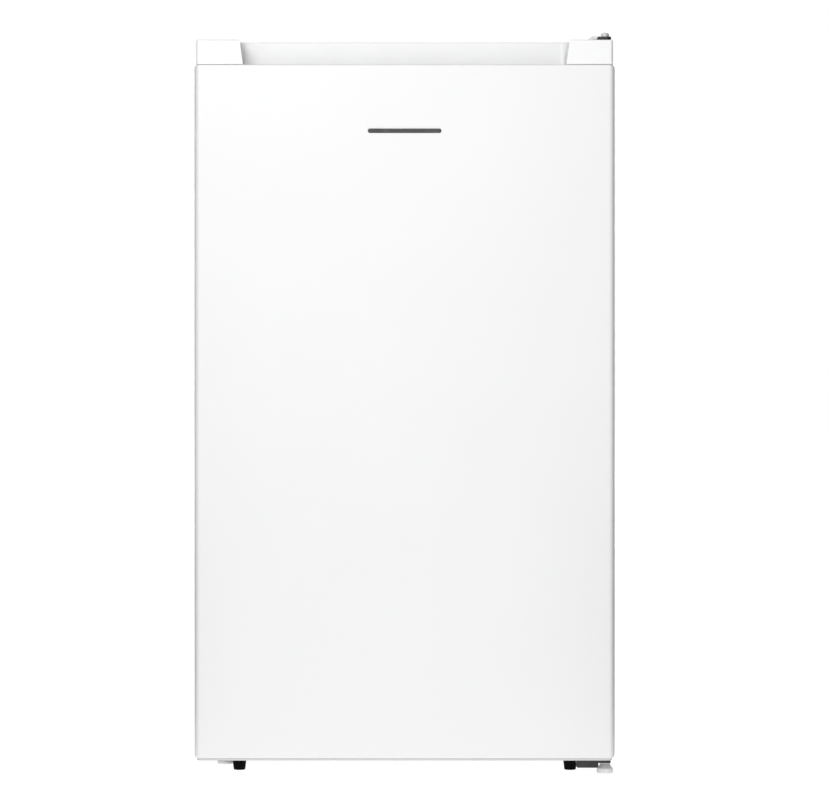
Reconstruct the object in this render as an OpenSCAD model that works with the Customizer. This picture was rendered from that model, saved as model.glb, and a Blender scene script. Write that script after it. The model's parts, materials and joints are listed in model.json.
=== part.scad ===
// Free-standing mini fridge, 48 cm wide, with one door hung on the right and an ice box inside.
// Millimetres. +Z is up, the door faces -Y and +X is to the right of someone facing the door.
// The origin is on the floor, below the centre of the bounding box.

/* [Overall] */
// Width across the door and the cabinet
width = 480; // [470:1:500]
// Depth from the door's face to the condenser's outer wires
depth = 500; // [495:1:530]
// Height of the worktop above the floor
worktop_z = 840; // [836:1:850]
// Thickness of the worktop
worktop_t = 25; // [20:1:28]

/* [Cabinet] */
// Thickness of a side wall, foam and skins together
side_wall = 34; // [30:1:36]
// Thickness of the back wall
back_wall = 38; // [34:1:40]
// Depth of the compressor's compartment, forward of the back panel
machine_depth = 145; // [140:1:150]
// Height of the compartment's ceiling above the floor
machine_z = 205; // [203:1:210]

/* [Door] */
// Thickness of the door, without its seal
door_depth = 46; // [42:1:50]
// Height of the door's lower edge above the floor
door_z0 = 17.4; // [17.2:0.1:18]
// How far the metal skin stops below the worktop, where the handle cap stands up
cap_rise = 28.8; // [26:0.2:31]
// Radius of the skin's long vertical edges
door_edge_r = 7; // [5:0.5:8]
// Radius of the skin's corners, seen from the front
door_corner_r = 4.5; // [3:0.5:6]
// Inset of the hinge pins from the door's right edge
pin_inset = 10; // [9.5:0.5:10]

/* [Inside] */
// Height of the lower shelf's glass
lower_shelf_z = 375; // [370:1:380]
// Height of the upper shelf's glass
upper_shelf_z = 505; // [500:1:510]
// Depth of a door balcony, front to back
balcony_depth = 85; // [70:1:88]

/* [Condenser] */
// Number of horizontal runs of the condenser's tube
runs = 13; // [9:2:13]
// Number of wires on each face of the condenser
wires = 22; // [10:2:26]

/* [Hidden] */
$fn = 48;

// Sheets and clearances
skin = 0.7;          // painted steel
liner_t = 1.6;       // vacuum-formed plastic
moulding = 2.4;      // injection-moulded walls
gap = 0.1;           // between pieces that lie against each other
lid_gap = 0.3;       // between pieces on different bodies

// Main planes
x_side = width / 2;
badge_t = 0.8;
y_front = -depth / 2 + badge_t;
y_back = depth / 2;
y_door = y_front + door_depth;
y_cab = y_door + 10;
y_sheet = y_back - 35;
cab_z0 = 28;
cab_z1 = worktop_z - worktop_t;
door_z1 = worktop_z - cap_rise;
cap_z1 = worktop_z - 0.4;

// Food compartment
in_x = x_side - side_wall;
in_z0 = cab_z0 + 34;
in_z1 = cab_z1 - 36;
in_y1 = y_sheet - back_wall;
corner_r = 18;
machine_y = y_sheet - machine_depth;
hump_y = machine_y - 32;
hump_z = machine_z + 32;
rib = 7;
rib_h = 8;
shelf_y0 = y_cab + 82;
shelf_y1 = in_y1 - 12;
crisper_cover_z = hump_z + 10;
drain_y = in_y1 - 20;

// Hinge axis and feet
pin_x = x_side - pin_inset;
pin_y = y_front + 30;
pin_r = 4;
bush_r = 5.5;
rail_z = 15.5;
plate_t = 2.5;
hinge_top_z = worktop_z + 2;
foot_x = x_side - 48.3;
foot_y = y_cab + 14;
left_foot = [-x_side + 31.5, y_cab + 29];
left_foot_z = [5.3, 10.9];
badge_z = [733, 738];
badge_half = 42;
skin_z0 = door_z0 + 2.1;
cap_seam = 0.4;
cap_deep = 29;
bottom_cap_h = 26;

// The trough in the door's top, from which the door is pulled open
trough_half = x_side - 55.5;
trough_depth = 24;
trough_back = y_front + 35;

// Door liner: the raised dykes reach into the cabinet, with the balconies between the side ones
dyke_x = in_x - 6;
dyke_w = 26;
dyke_z0 = in_z0 + 6;
dyke_z1 = in_z1 - 6;
dyke_y = y_cab + 14;
side_dyke_y = y_cab + 29;
side_dyke_z1 = 640;
panel_y = y_door - 18;

// Balconies: height of the floor, and height of the wall
bottle_rack_z = [97, 96];
middle_z = [395, 62];
top_z = [526, 58];
balcony_y1 = panel_y + balcony_depth;
rail_r = 2.5;
rail_x = dyke_x - dyke_w - 26;
rail_y = balcony_y1 - 5.5;
rail_foot = bottle_rack_z[0] + bottle_rack_z[1] - 45;

// Ice box
ice_y0 = -56;
ice_y1 = in_y1 - 12;
ice_x = 188;
ice_z = [668, 768];
sleeve_t = 1.6;
ice_screws = [for (x = [-132, 132], y = [ice_y0 + 30, ice_y1 - 30]) [x, y]];
tray_z = 640;
flap_axis = [ice_y0 - 17.5, 766];

// Thermostat box, on the right wall
box_x = in_x - 30;
box_y = [side_dyke_y + 20, 30];
box_z = [545, 605];
knob_at = [box_y[0] + 40, 575];
knob_r = 20;
grip_r = 15;
spindle_r = 3.9;
switch_at = [box_x + 14, 561];
switch_r = 3.5;
lamp_y = [-50, 20];
lamp_margin = 8;
socket_wall_y = [0, 8];
bulb_r = 9;
bulb_neck_r = 6;

// Machine compartment
comp_at = [-45, 148];
comp_r = 60;
comp_z = [36, 178];
stub_z = 122;
stub_r = 3.6;
stub_angles = [35, 60, 150];
tray_top = 24;
terminal_z = [66, 124];
inlet_r = 4.5;
pan = [[-110, 100], [70, 200]];

// Condenser
tube_r = 2.4;
wire_r = 0.75;
run_x = 196;
run_pitch = 40;
cond_z0 = 262;
wire_y1 = y_back - wire_r;
cond_y = wire_y1 - wire_r - tube_r - gap;
wire_y0 = cond_y - tube_r - wire_r - gap;
cond_z1 = cond_z0 + (runs - 1) * run_pitch;
riser_x = 227;
drier_at = [-196, 188];
drier_top = 158;

// ---------- helpers ----------

// A box given by its lowest and highest corner.
module slab(lo, hi) {
    translate(lo) cube(hi - lo);
}

// The child, and its mirror image across the middle of the fridge.
module both_sides() {
    children();
    mirror([1, 0, 0]) children();
}

// Extrudes a (Y, Z) outline along X, centred on the middle.
module along_x(length) {
    translate([-length / 2, 0, 0]) rotate([90, 0, 90]) linear_extrude(length) children();
}

// Extrudes an (X, Z) outline from y0 back to y1.
module along_y(y0, y1) {
    translate([0, y1, 0]) rotate([90, 0, 0]) linear_extrude(y1 - y0) children();
}

// A rectangle with all four corners rounded.
module rounded(lo, hi, r) {
    translate([lo[0] + r, lo[1]]) square([hi[0] - lo[0] - 2 * r, hi[1] - lo[1]]);
    translate([lo[0], lo[1] + r]) square([hi[0] - lo[0], hi[1] - lo[1] - 2 * r]);
    for (x = [lo[0] + r, hi[0] - r], y = [lo[1] + r, hi[1] - r]) translate([x, y]) circle(r);
}

// A rectangle, half_w to each side, from y0 to y1, rounded only at its y1 corners.
module rounded_back(half_w, y0, y1, r) {
    translate([-half_w, y0]) square([2 * half_w, y1 - r - y0]);
    translate([-half_w + r, y0]) square([2 * (half_w - r), y1 - y0]);
    for (x = [-half_w + r, half_w - r]) translate([x, y1 - r]) circle(r);
}

// A vertical post or bore.
module post(at, z0, z1, r) {
    translate([at[0], at[1], z0]) cylinder(h = z1 - z0, r = r);
}

// Points of a smooth curve through the given ones, with the given number of steps a span.
function spline(p, steps) = [
    for (i = [0:len(p) - 2], s = [0:steps - 1])
        let (a = p[max(i - 1, 0)], b = p[i], c = p[i + 1], d = p[min(i + 2, len(p) - 1)], t = s / steps)
        0.5 * (2 * b + (c - a) * t + (2 * a - 5 * b + 4 * c - d) * t * t + (3 * b - a - 3 * c + d) * t * t * t),
    p[len(p) - 1]
];

function unit(v) = v / norm(v);

// A round tube along a list of points, as one closed surface.
module tube_along(p, r, sides = 10) {
    last = len(p) - 1;
    rings = [
        for (i = [0:last])
            let (
                t = unit(p[min(i + 1, last)] - p[max(i - 1, 0)]),
                u = unit(cross(t, [0.31, 0.47, 0.83])),
                v = cross(t, u)
            )
            for (k = [0:sides - 1]) p[i] + r * (cos(360 * k / sides) * u + sin(360 * k / sides) * v)
    ];
    walls = [
        for (i = [0:last - 1], k = [0:sides - 1])
            let (a = i * sides + k, b = i * sides + (k + 1) % sides)
            each [[a, b, b + sides], [a, b + sides, a + sides]]
    ];
    start = [for (k = [1:sides - 2]) [0, k + 1, k]];
    end = last * sides;
    finish = [for (k = [1:sides - 2]) [end, end + k, end + k + 1]];
    polyhedron(points = rings, faces = [for (f = concat(start, walls, finish)) [f[2], f[1], f[0]]]);
}

// ---------- cabinet ----------

// The food compartment's space, with its step over the compressor, grown by g on every wall.
module food_space(g) {
    intersection() {
        along_x(2 * (in_x + g)) polygon([
            [y_cab - 5, in_z0 - g], [hump_y + g, in_z0 - g], [hump_y + g, hump_z - g],
            [in_y1 + g, hump_z - g], [in_y1 + g, in_z1 + g], [y_cab - 5, in_z1 + g]
        ]);
        translate([0, 0, in_z0 - g - 1]) linear_extrude(in_z1 - in_z0 + 2 * g + 2)
            rounded_back(in_x + g, y_cab - 5, in_y1 + g, corner_r + g);
    }
}

// One painted sheet folded over both sides and the top, with return flanges at the front and rear.
module cabinet_wrapper() {
    color("white") {
        both_sides() {
            slab([-x_side, y_cab, cab_z0], [-x_side + skin, y_sheet, cab_z1]);
            slab([-x_side, y_cab, cab_z0], [-x_side + 22, y_cab + skin, cab_z1]);
            slab([-x_side, y_sheet - skin, machine_z], [-x_side + 12, y_sheet, cab_z1]);
        }
        slab([-x_side, y_cab, cab_z1 - skin], [x_side, y_sheet, cab_z1]);
        slab([-x_side, y_cab, in_z1 + 14], [x_side, y_cab + skin, cab_z1]);
        slab([-x_side, y_sheet - skin, cab_z1 - 12], [x_side, y_sheet, cab_z1]);
    }
}

module back_panel() {
    inner = x_side - skin - gap;
    color("silver")
        slab([-inner, y_sheet - 2 * skin - gap, machine_z + skin + gap],
             [inner, y_sheet - skin - gap, cab_z1 - skin - gap]);
}

// Bent sheet below the foam: a front flange, the floor, and the front and ceiling of the compartment.
module bottom_panel() {
    inner = x_side - skin - gap;
    color("silver") difference() {
        union() {
            slab([-inner, y_cab + skin + gap, cab_z0], [inner, machine_y, cab_z0 + skin]);
            slab([-inner, machine_y - skin, cab_z0], [inner, machine_y, machine_z + skin]);
            slab([-inner, machine_y - skin, machine_z], [inner, y_sheet - skin - gap, machine_z + skin]);
            slab([-inner + 22, y_cab, cab_z0], [inner - 22, y_cab + skin, cab_z0 + 20]);
            slab([-inner + 22, y_cab, cab_z0], [inner - 22, y_cab + 5, cab_z0 + skin]);
        }
        post([0, drain_y], machine_z - 1, machine_z + 2, 6.5);
    }
}

module cabinet_insulation() {
    y0 = y_cab + skin + gap;
    y1 = y_sheet - 2 * skin - 2 * gap;
    z0 = cab_z0 + skin + gap;
    z1 = cab_z1 - skin - gap;
    color("khaki") difference() {
        along_x(2 * (x_side - skin - gap)) polygon([
            [y0, z0], [machine_y - skin - gap, z0], [machine_y - skin - gap, machine_z + skin + gap],
            [y1, machine_z + skin + gap], [y1, z1], [y0, z1]
        ]);
        food_space(liner_t + gap);
        // Room for the liner's front flange
        slab([-x_side + 20, y0 - 1, cab_z0 + 18], [x_side - 20, y_cab + 2.6, cab_z1 - 18]);
        post([0, drain_y], machine_z, hump_z, 6.2);
    }
}

// The ribs that a shelf's glass lies on, one on each wall.
module shelf_ribs(z, y0, y1) {
    both_sides() slab([in_x - rib, y0, z - rib_h], [in_x + 1, y1, z]);
}

module inner_liner() {
    flange_x = x_side - 22 - gap;
    color("white") difference() {
        union() {
            difference() {
                union() {
                    food_space(liner_t);
                    slab([-flange_x, y_cab + skin + gap, cab_z0 + 20.2], [flange_x, y_cab + 2.5, in_z1 + 13.8]);
                }
                food_space(0);
                slab([-x_side, y_cab - 20, 0], [x_side, y_cab + skin + gap, worktop_z]);
            }
            for (z = [lower_shelf_z, upper_shelf_z, crisper_cover_z, tray_z])
                shelf_ribs(z, shelf_y0 + 14, in_y1 - 20);
            // Gutter that leads melt water to the drain
            slab([-150, in_y1 - 34, hump_z], [150, in_y1 - 32, hump_z + 5]);
            post([0, drain_y], machine_z - 10, hump_z - 0.5, 6);
            for (at = ice_screws) post(at, ice_z[1] + gap, in_z1 + 1, 6);
        }
        post([0, drain_y], machine_z - 11, hump_z + 1, 4.5);
        for (at = ice_screws) post(at, ice_z[1] - 1, in_z1 - 1, 1.7);
    }
}

// The worktop leaves a notch at its right front corner for the top hinge.
module worktop() {
    color("white") difference() {
        translate([0, 0, cab_z1 + gap]) linear_extrude(worktop_t - gap)
            rounded([-x_side, y_cab - 1], [x_side, y_sheet + 3], 5);
        slab([x_side - 44, y_cab - 2, cab_z1 - 1], [x_side + 1, y_cab + 64, worktop_z + 1]);
    }
}

// Folded channel under the cabinet's front, which carries the feet and the lower hinge.
module base_rail() {
    y0 = y_cab + 2;
    y1 = y_cab + 44;
    color("gray") difference() {
        union() {
            slab([-x_side + 2, y0, rail_z], [x_side - 2, y1, rail_z + 1.5]);
            slab([-x_side + 2, y0, rail_z], [x_side - 2, y0 + 1.5, cab_z0]);
            slab([-x_side + 2, y1 - 1.5, rail_z], [x_side - 2, y1, cab_z0]);
        }
        post(left_foot, rail_z - 1, rail_z + 3, pin_r + 0.3);
        for (at = lower_screws) post(at, rail_z - 1, rail_z + 3, 1.9);
    }
}

module front_feet() {
    color("black") both_sides() translate([foot_x, foot_y, 0]) rotate_extrude() polygon([
        [0, 0], [6, 0], [6.8, 0.8], [8, 11], [8, rail_z], [0, rail_z]
    ]);
}

module rear_feet() {
    color("black") both_sides() translate([foot_x, y_sheet - 2, 0]) rotate_extrude() polygon([
        [0, 0], [9.2, 0], [10, 0.8], [12, 16], [12, tray_top - 4], [0, tray_top - 4]
    ]);
}

// ---------- hinges and levelling feet ----------

upper_screws = [[x_side - 20.5, y_cab + 16], [x_side - 10.5, y_cab + 16], [x_side - 15.5, y_cab + 48]];
lower_screws = [[x_side - 31, y_cab + 14], [x_side - 12, y_cab + 14], [x_side - 21, y_cab + 34]];

module top_hinge_base() {
    color("white") difference() {
        translate([0, 0, cab_z1 + gap]) linear_extrude(hinge_top_z - cab_z1 - gap)
            rounded([x_side - 43.5, y_cab - 1], [x_side - 0.5, y_cab + 63.5], 4);
        for (at = upper_screws) post(at, hinge_top_z - 15, hinge_top_z + 1, 1.9);
    }
}

module top_hinge_bracket() {
    color("dimgray") difference() {
        translate([0, 0, hinge_top_z]) linear_extrude(3) {
            rounded([pin_x - 8.8, pin_y - 11], [pin_x + 6.8, y_cab + 20], 5);
            rounded([x_side - 38, y_cab + 4], [x_side - 2, y_cab + 60], 5);
        }
        post([pin_x, pin_y], hinge_top_z - 1, hinge_top_z + 4, pin_r + 0.03);
        for (at = upper_screws) post(at, hinge_top_z - 1, hinge_top_z + 4, 2.3);
    }
}

module top_hinge_pin() {
    top = hinge_top_z + 3;
    color("silver") translate([pin_x, pin_y, 0]) rotate_extrude() polygon([
        [0, top - 24], [pin_r - 1, top - 24], [pin_r, top - 23], [pin_r, top],
        [4.7, top], [4.7, top + 3.6], [3.6, top + 4.8], [0, top + 4.8]
    ]);
}

// Moulded cover over the bracket's screws, with its left edge sloping down.
module top_hinge_cover() {
    z0 = hinge_top_z + 3 + gap;
    x0 = x_side - 27;
    y1 = y_cab + 61;
    color("white") difference() {
        along_y(y_cab + 2, y1) polygon([
            [x0, z0], [x_side - 3, z0], [x_side - 3, z0 + 4.2], [x0 + 4, z0 + 4.2], [x0, z0 + 1.2]
        ]);
        slab([x0 + 2.2, y_cab + 4, z0 - 1], [x_side - 5, y1 - 2, z0 + 2.45]);
    }
}

// Plate under the door's corner, with a lip turned down along its front.
module bottom_hinge_bracket() {
    z0 = rail_z - plate_t;
    lip_z = 7.6;
    color("dimgray") difference() {
        union() {
            translate([0, 0, z0]) linear_extrude(plate_t) {
                rounded([x_side - 43.6, pin_y - 14], [pin_x + 6, y_cab - 4], 3);
                rounded([x_side - 38, y_cab - 12], [x_side - 4, y_cab + 42], 3);
            }
            along_y(pin_y - 14, pin_y - 14 + plate_t)
                rounded([x_side - 43.6, lip_z], [x_side - 18.3, rail_z - 0.4], 2.5);
        }
        post([pin_x, pin_y], z0 - 1, rail_z + 1, pin_r + 0.03);
        for (at = lower_screws) post(at, z0 - 1, rail_z + 1, 2.3);
    }
}

module bottom_hinge_pin() {
    z0 = rail_z - plate_t;
    color("silver") translate([pin_x, pin_y, 0]) {
        rotate_extrude() polygon([
            [0, 4], [pin_r, 4], [pin_r, 37], [pin_r - 1, 38], [0, 38]
        ]);
        translate([0, 0, z0 - 2.4]) cylinder(h = 2.4, r = 6.2, $fn = 6);
    }
}

// A screw standing on the plane z, with a domed head and a cross recess.
module screw(at, z, shank_r, length, head_r, head_h) {
    slot = 0.22 * head_r;
    translate([at[0], at[1], z]) difference() {
        rotate_extrude() polygon([
            [0, -length], [shank_r, -length], [shank_r, 0], [head_r, 0],
            [head_r, 0.4 * head_h], [0.7 * head_r, head_h], [0, head_h]
        ]);
        for (turn = [0, 90]) rotate(turn)
            slab([-0.55 * head_r, -slot, 0.45 * head_h], [0.55 * head_r, slot, head_h + 1]);
    }
}

module hinge_screws() {
    color("silver") {
        for (at = upper_screws) screw(at, hinge_top_z + 3, 1.8, 10, 4.2, 2.4);
        for (at = lower_screws) mirror([0, 0, 1]) screw(at, -(rail_z - plate_t), 1.8, 10, 4.2, 2.4);
    }
}

// A levelling foot's plastic disc, fluted round its rim, with a collar above.
module foot_disc(at, z0, z1, r, collar_r, bore_r, bore_z) {
    flutes = 24;
    h = z1 - z0;
    translate([at[0], at[1], 0]) difference() {
        rotate_extrude() polygon([
            [0, z0], [r - 1.2, z0], [r, z0 + 1], [r, z0 + 0.55 * h],
            [collar_r, z0 + 0.95 * h], [collar_r, z1], [0, z1]
        ]);
        for (k = [0:flutes - 1]) rotate(360 * k / flutes)
            translate([r + 0.25, 0, z0 - 1]) cylinder(h = h + 2, r = 0.9, $fn = 16);
        translate([0, 0, bore_z]) cylinder(h = z1 - bore_z + 1, r = bore_r);
    }
}

module hinge_foot_insert() {
    color("gold") translate([pin_x, pin_y, 3]) difference() {
        cylinder(h = 7, r = pin_r + 1.2);
        translate([0, 0, 0.6]) cylinder(h = 8, r = pin_r + 0.05);
    }
}

module hinge_foot_pad() {
    color("white") foot_disc([pin_x, pin_y], 0, 10, 9.5, 6.2, pin_r + 1.25, 2.9);
}

module left_foot_stud() {
    color("silver") post(left_foot, left_foot_z[0] + 1.7, cab_z0 - 1, pin_r);
}

module left_foot_pad() {
    z = left_foot_z;
    color("gainsboro") foot_disc(left_foot, z[0], z[1], 9.7, 6.2, pin_r + 0.05, z[0] + 1.6);
}

// ---------- door ----------

// The door's outer form as far back as y1, shrunk by g.
module door_form(g, y1) {
    intersection() {
        mirror([0, 1, 0]) translate([0, 0, skin_z0]) linear_extrude(door_z1 - skin_z0)
            rounded_back(x_side - g, -y1, -y_front - g, door_edge_r - g);
        along_y(y_front - 1, y1 + 1)
            rounded([-x_side + g, skin_z0 + g], [x_side - g, door_z1 - g], door_corner_r - g);
    }
}

// Folded steel: the face, two sides with a lip behind, and a narrow lip along the top and bottom.
module door_skin() {
    lip = 3;
    color("white") difference() {
        door_form(0, y_door);
        door_form(skin, y_door - skin);
        slab([-x_side + 8, y_door - 5, skin_z0 - 1], [x_side - 8, y_door + 1, door_z1 + 1]);
        for (z = [skin_z0 - 1, door_z1 - 2])
            slab([-x_side + lip, y_front + lip, z], [x_side - lip, y_door + 1, z + 3]);
    }
}

// The space a finger reaches into, behind the skin's top edge.
module finger_trough() {
    floor_z = door_z1 - trough_depth;
    lip_z = door_z1 - skin - gap;
    top_z = worktop_z + 1;
    lean = 4 / cap_rise;
    low_half = trough_half - lean * (door_z1 - floor_z);
    top_half = trough_half + lean * (top_z - door_z1);
    front = y_front + 5;
    r = 14;
    intersection() {
        along_x(width) {
            translate([front, floor_z + r]) square([trough_back - front, top_z - floor_z]);
            translate([front + r, floor_z]) square([trough_back - front - 2 * r, r + 1]);
            translate([front + r, floor_z + r]) circle(r);
            translate([trough_back - r, floor_z + r]) circle(r);
            // In front the cap stays below the skin's edge
            translate([y_front - 5, lip_z]) square([front + r - y_front, top_z - lip_z]);
        }
        along_y(y_front - 5, y_door)
            polygon([[-low_half, floor_z], [low_half, floor_z], [top_half, top_z], [-top_half, top_z]]);
        translate([0, 0, floor_z]) linear_extrude(top_z - floor_z)
            rounded_back(top_half, y_front - 5, trough_back, 12);
    }
}

// The part of a cap that plugs into the skin, between two heights, and its neck through the lips.
module cap_plug(z0, z1, neck_z) {
    g = skin + gap;
    mirror([0, 1, 0]) translate([0, 0, z0]) linear_extrude(z1 - z0)
        rounded_back(x_side - g - 1.5, 2 - y_door, -y_front - g - 1.2, 5);
    slab([-x_side + 3.4, y_front + 3.4, neck_z], [x_side - 3.4, y_door - 2, neck_z + 3]);
}

// Handle cap: a plug inside the skin, two end blocks above it, and the trough between them.
module door_top_cap() {
    g = skin + gap;
    color("white") difference() {
        union() {
            cap_plug(door_z1 - cap_deep, door_z1 - g - 1, door_z1 - 2);
            mirror([0, 1, 0]) translate([0, 0, door_z1 + cap_seam]) linear_extrude(cap_z1 - door_z1 - cap_seam)
                rounded_back(x_side - 2.3, -y_door, -y_front - 1.2, 3);
        }
        finger_trough();
        // The end blocks are hollow from below
        slab([-x_side + 7, y_front + 4.5, door_z1 - cap_deep - 2], [-x_side + 44, y_door - 5, cap_z1 - 3]);
        slab([pin_x - 38, y_front + 4.5, door_z1 - cap_deep - 2], [pin_x - 9, y_door - 5, cap_z1 - 3]);
        post([pin_x, pin_y], cap_z1 - 19, cap_z1 + 1, bush_r);
    }
}

// Bottom cap: a plug inside the skin, on a plate that shows as a thin edge below it.
module door_bottom_cap() {
    g = skin + gap;
    top = door_z0 + bottom_cap_h;
    inset = 3;
    color("white") difference() {
        union() {
            cap_plug(skin_z0 + g + 1, top, skin_z0 - 0.5);
            intersection() {
                mirror([0, 1, 0]) translate([0, 0, door_z0]) linear_extrude(skin_z0 - gap - door_z0)
                    rounded_back(x_side - inset, 2 - y_door, -y_front - 1, 5);
                along_y(y_front, y_door)
                    rounded([-x_side + inset, door_z0], [x_side - inset, skin_z0 + 4], 2);
            }
        }
        slab([-x_side + 6, y_front + 4.5, door_z0 + 4], [pin_x - 10, y_door - 5, top + 1]);
        post([pin_x, pin_y], door_z0 - 1, door_z0 + 22, bush_r);
    }
}

module hinge_bush(z0, z1, flange_z) {
    translate([pin_x, pin_y, 0]) difference() {
        union() {
            translate([0, 0, z0]) cylinder(h = z1 - z0, r = bush_r);
            translate([0, 0, flange_z]) cylinder(h = 1.5, r = 7);
        }
        translate([0, 0, z0 - 3]) cylinder(h = z1 - z0 + 6, r = pin_r + 0.05);
    }
}

module door_hinge_bushes() {
    color("white") {
        hinge_bush(cap_z1 - 18.5, cap_z1, cap_z1);
        hinge_bush(door_z0, door_z0 + 21.5, door_z0 - 1.5);
    }
}

// The space inside the door's liner, on the foam's side, shrunk by g.
module dyke_space(g) {
    for (z = [dyke_z0, dyke_z1 - dyke_w])
        slab([-dyke_x + g, y_door - 3, z + g], [dyke_x - g, dyke_y - g, z + dyke_w - g]);
    both_sides() {
        slab([dyke_x - dyke_w + g, y_door - 3, dyke_z0 + g], [dyke_x - g, dyke_y - g, dyke_z1 - g]);
        slab([dyke_x - dyke_w + g, y_door - 3, dyke_z0 + g], [dyke_x - g, side_dyke_y - g, side_dyke_z1 - g]);
    }
}

module door_liner() {
    well_x = dyke_x - dyke_w;
    well_z0 = dyke_z0 + dyke_w;
    well_z1 = dyke_z1 - dyke_w;
    t = liner_t;
    color("white") {
        difference() {
            union() {
                slab([-x_side + 8.5, y_door - t, skin_z0 + 0.8], [x_side - 8.5, y_door, door_z1 - 0.8]);
                dyke_space(0);
                slab([-well_x - t, panel_y - t, well_z0 - t], [well_x + t, y_door, well_z1 + t]);
            }
            dyke_space(t);
            slab([-well_x, panel_y, well_z0], [well_x, dyke_y + 60, well_z1]);
            // The foam's side is open in front of the flange, outside the well
            for (s = [[-dyke_x, -well_x - t], [well_x + t, dyke_x]])
                slab([s[0], y_door - 4, dyke_z0], [s[1], y_door - t, dyke_z1]);
            for (s = [[dyke_z0, well_z0 - t], [well_z1 + t, dyke_z1]])
                slab([-dyke_x, y_door - 4, s[0]], [dyke_x, y_door - t, s[1]]);
        }
        for (b = [bottle_rack_z, middle_z, top_z])
            both_sides() slab([well_x - 4, panel_y + 20, b[0] + 12], [well_x + 0.5, side_dyke_y - 12, b[0] + 20]);
    }
}

module door_insulation() {
    g = skin + gap;
    t = liner_t + gap;
    well_x = dyke_x - dyke_w + t;
    z0 = door_z0 + bottom_cap_h + gap;
    z1 = door_z1 - cap_deep - gap;
    color("khaki") difference() {
        union() {
            intersection() {
                door_form(g, y_door);
                slab([-x_side, y_front, z0], [x_side, y_door - t, z1]);
            }
            intersection() {
                translate([0, -gap, 0]) dyke_space(t);
                slab([-x_side, y_door - 3, z0], [x_side, y_cab + 60, z1]);
            }
        }
        slab([-well_x, panel_y - t, dyke_z0 + dyke_w - t], [well_x, y_cab + 60, dyke_z1 - dyke_w + t]);
    }
}

// Magnetic seal: a base strip, a hollow bellows and the magnet's face, mitred into one frame.
module door_gasket() {
    outer_x = pin_x - 5;
    outer_z = [cab_z0 + 8, cab_z1 - 8];
    y1 = y_cab - lid_gap;
    module ring(i, o, y0, yy) {
        difference() {
            slab([-outer_x + o, y0, outer_z[0] + o], [outer_x - o, yy, outer_z[1] - o]);
            slab([-outer_x + i, y0 - 1, outer_z[0] + i], [outer_x - i, yy + 1, outer_z[1] - i]);
        }
    }
    color("lightgray") {
        ring(15, 1, y_door, y_door + 2.5);
        ring(4, 2.5, y_door + 2, y1 - 3);
        ring(12, 10.5, y_door + 2, y1 - 3);
        ring(14.5, 0, y1 - 3.5, y1);
    }
}

module door_badge() {
    color("dimgray") along_y(y_front - badge_t, y_front)
        rounded([-badge_half, badge_z[0]], [badge_half, badge_z[1]], 2.4);
}

// ---------- balconies ----------

// A door balcony: floor, low wall on the door's side, high wall on the cabinet's, and hooks at its ends.
module balcony(z, h) {
    half = dyke_x - dyke_w - 1.2;
    t = moulding;
    corner = 8;
    difference() {
        translate([0, 0, z]) linear_extrude(h) rounded_back(half, panel_y + 1, balcony_y1, corner);
        translate([0, 0, z + t]) linear_extrude(h)
            rounded_back(half - t, panel_y + 1 + t, balcony_y1 - t, corner - t);
        slab([-half - 1, panel_y, z + 0.6 * h], [half + 1, panel_y + 1 + 2 * t, z + h + 1]);
        both_sides() slab([half - 3.3, panel_y + 19, z - 1], [half + 2, side_dyke_y - 11, z + 20 + lid_gap]);
    }
}

module top_balcony() {
    color("white") balcony(top_z[0], top_z[1]);
}

module middle_balcony() {
    color("white") balcony(middle_z[0], middle_z[1]);
}

// The rack's wall is lower than a balcony's, with a socket at each end for the wire rail.
module bottle_rack() {
    z = bottle_rack_z[0];
    h = bottle_rack_z[1] - 30;
    color("white") difference() {
        union() {
            balcony(z, h);
            both_sides() post([rail_x, rail_y], z + 1, z + h, 4.5);
        }
        both_sides() post([rail_x, rail_y], rail_foot - gap, z + h + 1, rail_r + 0.05);
    }
}

// Wire rail above the bottle rack's wall, let into it at both ends.
module bottle_rail() {
    r = rail_r;
    bend = 8;
    top = bottle_rack_z[0] + bottle_rack_z[1] - 8;
    color("silver") {
        translate([-rail_x + bend, rail_y, top]) rotate([0, 90, 0]) cylinder(h = 2 * (rail_x - bend), r = r);
        both_sides() {
            translate([rail_x, rail_y, rail_foot]) cylinder(h = top - bend - rail_foot, r = r);
            translate([rail_x - bend, rail_y, top - bend]) rotate([90, 0, 0])
                rotate_extrude(angle = 90) translate([bend, 0]) circle(r);
        }
    }
}

module egg_tray() {
    z = top_z[0] + moulding + lid_gap;
    y0 = panel_y + 8;
    y1 = balcony_y1 - 6;
    color("whitesmoke") difference() {
        translate([0, 0, z]) linear_extrude(26) rounded([-150, y0], [150, y1], 8);
        translate([0, 0, z - 1]) linear_extrude(25) rounded([-148, y0 + 2], [148, y1 - 2], 6);
        for (k = [-2.5:2.5]) post([k * 49, (y0 + y1) / 2], z + 20, z + 30, 19);
    }
}

// ---------- shelves, crisper and drip tray ----------

module shelf_glass(z) {
    slab([-in_x + 2.5, shelf_y0 + 3, z + gap], [in_x - 2.5, shelf_y1 - 3, z + 4]);
}

// Front and rear edge strips that grip a shelf's glass.
module shelf_trim(z) {
    difference() {
        union() {
            along_x(2 * (in_x - 2.5)) rounded([shelf_y0, z - 7], [shelf_y0 + 12, z + 9], 2.5);
            slab([-in_x + rib + 2, shelf_y1 - 8, z - 3], [in_x - rib - 2, shelf_y1, z + 12]);
        }
        slab([-in_x + 1, shelf_y0 + 3, z], [in_x - 1, shelf_y1 - 3, z + 4 + gap]);
    }
}

module upper_shelf_glass() {
    color("lightcyan") shelf_glass(upper_shelf_z);
}

module upper_shelf_trim() {
    color("white") shelf_trim(upper_shelf_z);
}

module lower_shelf_glass() {
    color("lightcyan") shelf_glass(lower_shelf_z);
}

module lower_shelf_trim() {
    color("white") shelf_trim(lower_shelf_z);
}

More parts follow.
